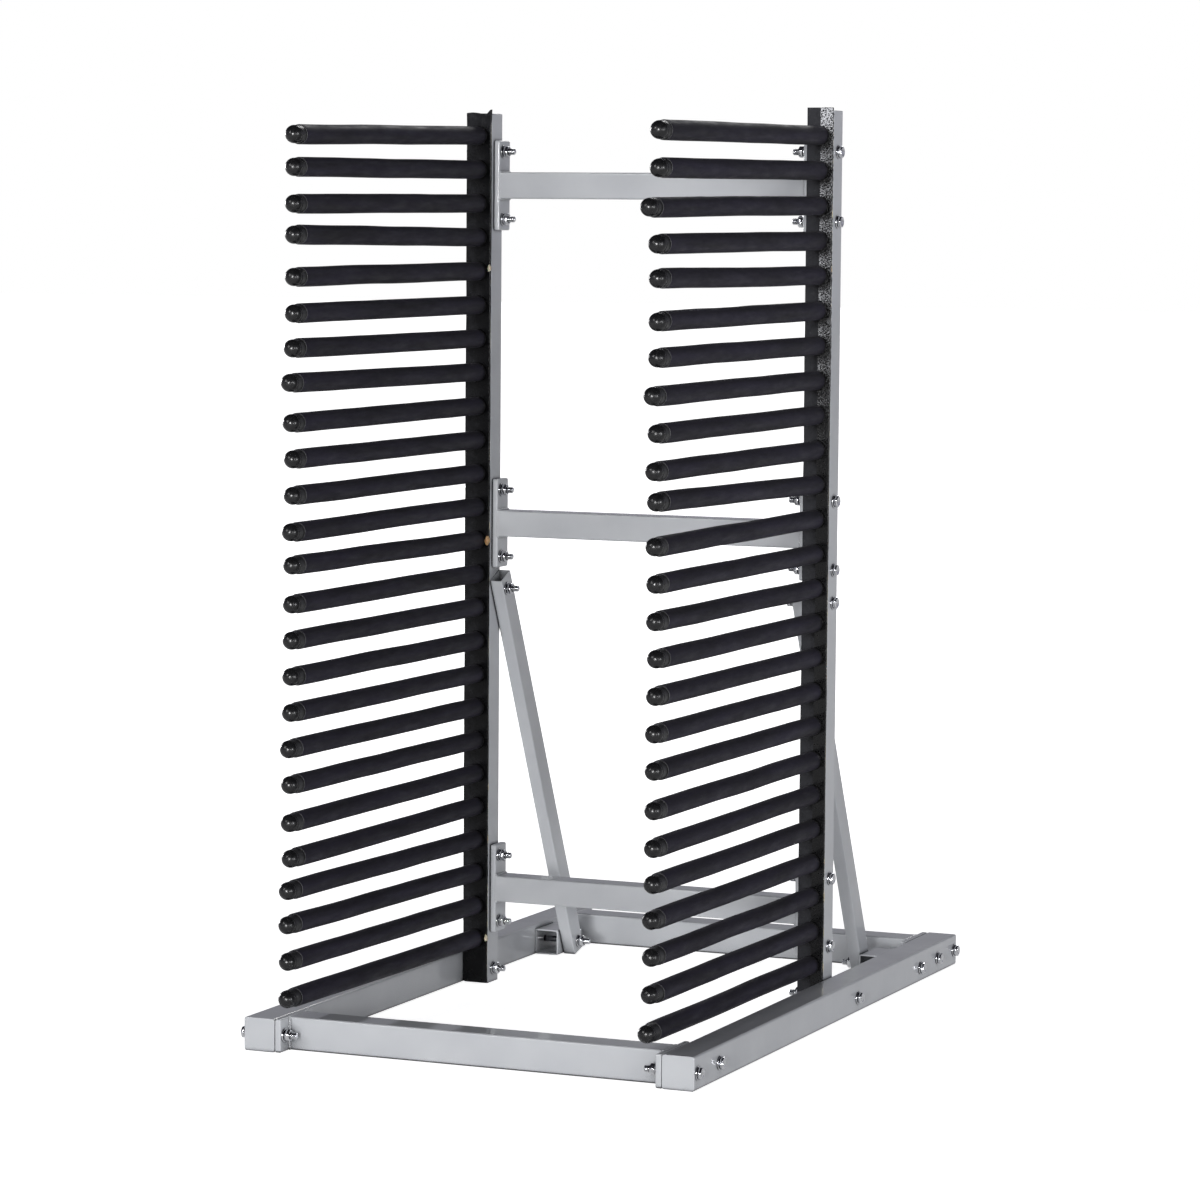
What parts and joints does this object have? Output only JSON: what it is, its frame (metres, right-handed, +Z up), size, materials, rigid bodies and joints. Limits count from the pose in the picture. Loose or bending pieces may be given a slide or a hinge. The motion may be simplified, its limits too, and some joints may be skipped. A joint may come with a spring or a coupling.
{
  "type": "storage rack",
  "caption": "Free-standing bolted tube frame with two columns of horizontal rubber-sleeved arms, for flat or long things laid across both columns.",
  "frame": {"origin": "on the floor, in the middle of the whole outline", "axes": "+X to the right seen from the arms' side, -Y the way the arms point, +Z up"},
  "size_m": [0.88, 1.4055, 1.679],
  "materials": {
    "frame_paint": "semi-gloss silver powder coat",
    "zinc_fasteners": "bright zinc plate",
    "strip_rubber": "smooth satin rubber",
    "sleeve_rubber": "smooth matt rubber",
    "plug_plastic": "glossy black",
    "arm_tube_paint": "black paint"
  },
  "bodies": {
    "root": {"base_bolts": "zinc_fasteners", "base_nuts": "zinc_fasteners", "base_washers": "zinc_fasteners", "brace_foot_bolts": "zinc_fasteners", "brace_top_bolts": "zinc_fasteners", "cross_member_bolts": "zinc_fasteners", "foot_bolts": "zinc_fasteners", "front_beam": "frame_paint", "front_beam_left_flange": "frame_paint", "front_beam_right_flange": "frame_paint", "left_arm_end_plugs": "plug_plastic", "left_arm_sleeves_tier_1": "sleeve_rubber", "left_arm_sleeves_tier_2": "sleeve_rubber", "left_arm_sleeves_tier_3": "sleeve_rubber", "left_arm_sleeves_tier_4": "sleeve_rubber", "left_arm_sleeves_tier_5": "sleeve_rubber", "left_arm_tubes": "arm_tube_paint", "left_beam_front_cap": "frame_paint", "left_beam_rear_cap": "frame_paint", "left_brace": "frame_paint", "left_brace_spacer": "frame_paint", "left_face_strip": "strip_rubber", "left_side_beam": "frame_paint", "left_upright": "frame_paint", "left_upright_cap": "frame_paint", "lower_cross_left_flange": "frame_paint", "lower_cross_right_flange": "frame_paint", "lower_cross_tube": "frame_paint", "middle_cross_left_flange": "frame_paint", "middle_cross_right_flange": "frame_paint", "middle_cross_tube": "frame_paint", "rear_beam": "frame_paint", "rear_beam_left_flange": "frame_paint", "rear_beam_right_flange": "frame_paint", "right_arm_end_plugs": "plug_plastic", "right_arm_sleeves_tier_1": "sleeve_rubber", "right_arm_sleeves_tier_2": "sleeve_rubber", "right_arm_sleeves_tier_3": "sleeve_rubber", "right_arm_sleeves_tier_4": "sleeve_rubber", "right_arm_sleeves_tier_5": "sleeve_rubber", "right_arm_tubes": "arm_tube_paint", "right_beam_front_cap": "frame_paint", "right_beam_rear_cap": "frame_paint", "right_brace": "frame_paint", "right_brace_spacer": "frame_paint", "right_face_strip": "strip_rubber", "right_side_beam": "frame_paint", "right_upright": "frame_paint", "right_upright_cap": "frame_paint", "top_cross_left_flange": "frame_paint", "top_cross_right_flange": "frame_paint", "top_cross_tube": "frame_paint", "upright_nuts": "zinc_fasteners", "upright_washers": "zinc_fasteners"}
  },
  "joints": []
}
